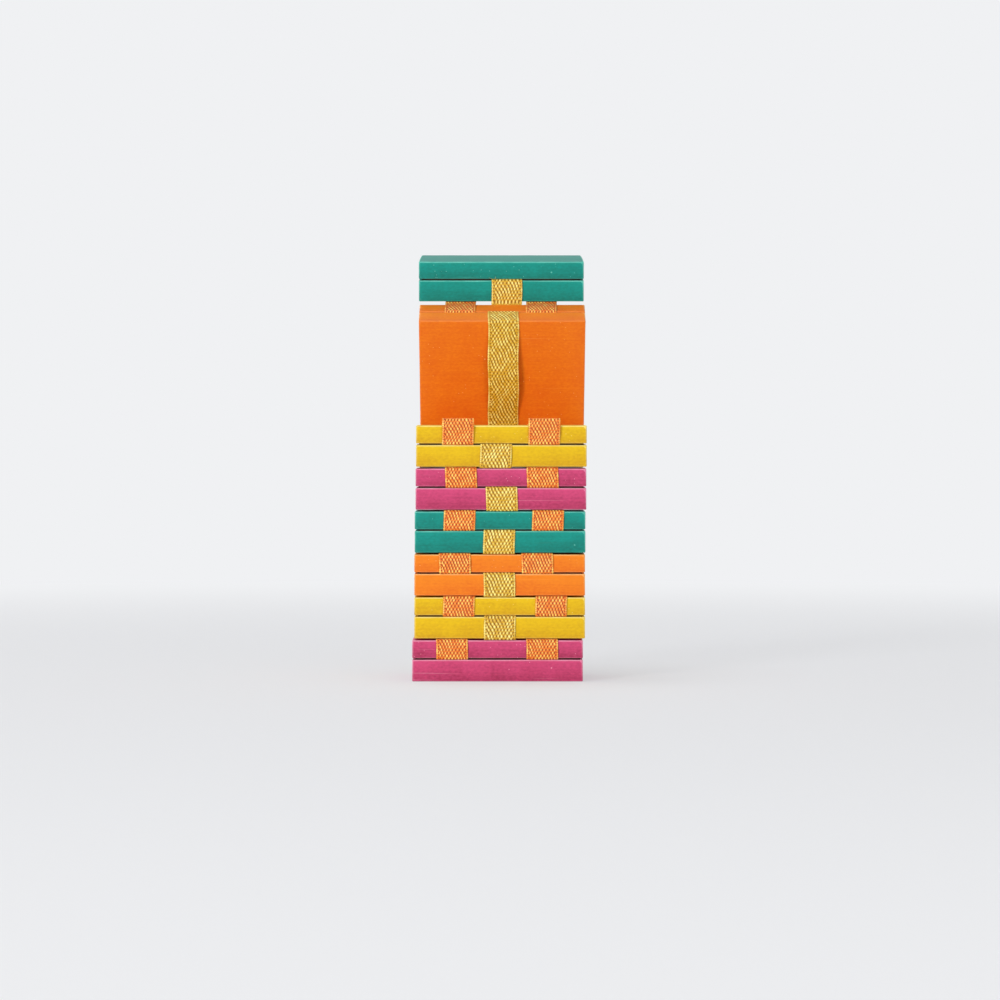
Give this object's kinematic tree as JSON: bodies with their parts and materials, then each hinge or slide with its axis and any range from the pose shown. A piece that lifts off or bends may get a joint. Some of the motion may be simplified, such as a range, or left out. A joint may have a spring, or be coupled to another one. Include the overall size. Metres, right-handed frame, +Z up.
{
  "type": "jacobs ladder toy",
  "caption": "Jacobs ladder toy of painted wooden blocks on woven ribbons, stacked with the upper blocks unfolding, made to tumble end over end.",
  "frame": {"origin": "middle of the bottom block's underside, on the surface that the stack stands on", "axes": "+Z up, -Y towards the viewer of the picture, X across the blocks' width"},
  "size_m": [0.0411, 0.0526, 0.104],
  "materials": {
    "teal_paint": "satin paint",
    "orange_paint": "satin paint",
    "yellow_paint": "satin paint",
    "magenta_paint": "satin paint",
    "gold_ribbon": "woven",
    "orange_ribbon": "woven"
  },
  "bodies": {
    "block_1": {"block_1_upper_board": "teal_paint", "block_1_lower_board": "teal_paint", "block_1_centre_ribbon": "gold_ribbon", "block_1_left_ribbon": "orange_ribbon", "block_1_right_ribbon": "orange_ribbon"},
    "block_2": {"block_2_upper_board": "orange_paint", "block_2_lower_board": "orange_paint", "block_2_centre_ribbon": "gold_ribbon", "block_2_left_ribbon": "orange_ribbon", "block_2_right_ribbon": "orange_ribbon"},
    "block_3": {"block_3_upper_board": "yellow_paint", "block_3_lower_board": "yellow_paint", "block_3_centre_ribbon": "gold_ribbon", "block_3_left_ribbon": "orange_ribbon", "block_3_right_ribbon": "orange_ribbon"},
    "block_4": {"block_4_upper_board": "magenta_paint", "block_4_lower_board": "magenta_paint", "block_4_centre_ribbon": "gold_ribbon", "block_4_left_ribbon": "orange_ribbon", "block_4_right_ribbon": "orange_ribbon"},
    "block_5": {"block_5_upper_board": "teal_paint", "block_5_lower_board": "teal_paint", "block_5_centre_ribbon": "gold_ribbon", "block_5_left_ribbon": "orange_ribbon", "block_5_right_ribbon": "orange_ribbon"},
    "block_6": {"block_6_upper_board": "orange_paint", "block_6_lower_board": "orange_paint", "block_6_centre_ribbon": "gold_ribbon", "block_6_left_ribbon": "orange_ribbon", "block_6_right_ribbon": "orange_ribbon"},
    "block_7": {"block_7_upper_board": "yellow_paint", "block_7_lower_board": "yellow_paint", "block_7_centre_ribbon": "gold_ribbon", "block_7_left_ribbon": "orange_ribbon", "block_7_right_ribbon": "orange_ribbon"},
    "block_8": {"block_8_upper_board": "magenta_paint", "block_8_lower_board": "magenta_paint", "block_8_centre_ribbon": "gold_ribbon", "block_8_left_ribbon": "orange_ribbon", "block_8_right_ribbon": "orange_ribbon"}
  },
  "joints": [
    {"name": "fold_1", "type": "hinge", "parent": "block_2", "child": "block_1", "pos_m": [0, 0.00975, 0.09029], "axis": [1, 0, 0], "range_deg": [-70, 110]},
    {"name": "fold_2", "type": "hinge", "parent": "block_3", "child": "block_2", "pos_m": [0, 0.01443, 0.0601], "axis": [-1, 0, 0], "range_deg": [-62, 118]},
    {"name": "fold_3", "type": "hinge", "parent": "block_4", "child": "block_3", "pos_m": [0, -0.01443, 0.05005], "axis": [1, 0, 0], "range_deg": [0, 180]},
    {"name": "fold_4", "type": "hinge", "parent": "block_5", "child": "block_4", "pos_m": [0, 0.01443, 0.04], "axis": [-1, 0, 0], "range_deg": [0, 155]},
    {"name": "fold_5", "type": "hinge", "parent": "block_6", "child": "block_5", "pos_m": [0, -0.01443, 0.02995], "axis": [1, 0, 0], "range_deg": [0, 180]},
    {"name": "fold_6", "type": "hinge", "parent": "block_7", "child": "block_6", "pos_m": [0, 0.01443, 0.0199], "axis": [-1, 0, 0], "range_deg": [0, 180]},
    {"name": "fold_7", "type": "hinge", "parent": "block_8", "child": "block_7", "pos_m": [0, -0.01443, 0.00985], "axis": [1, 0, 0], "range_deg": [0, 180]}
  ]
}
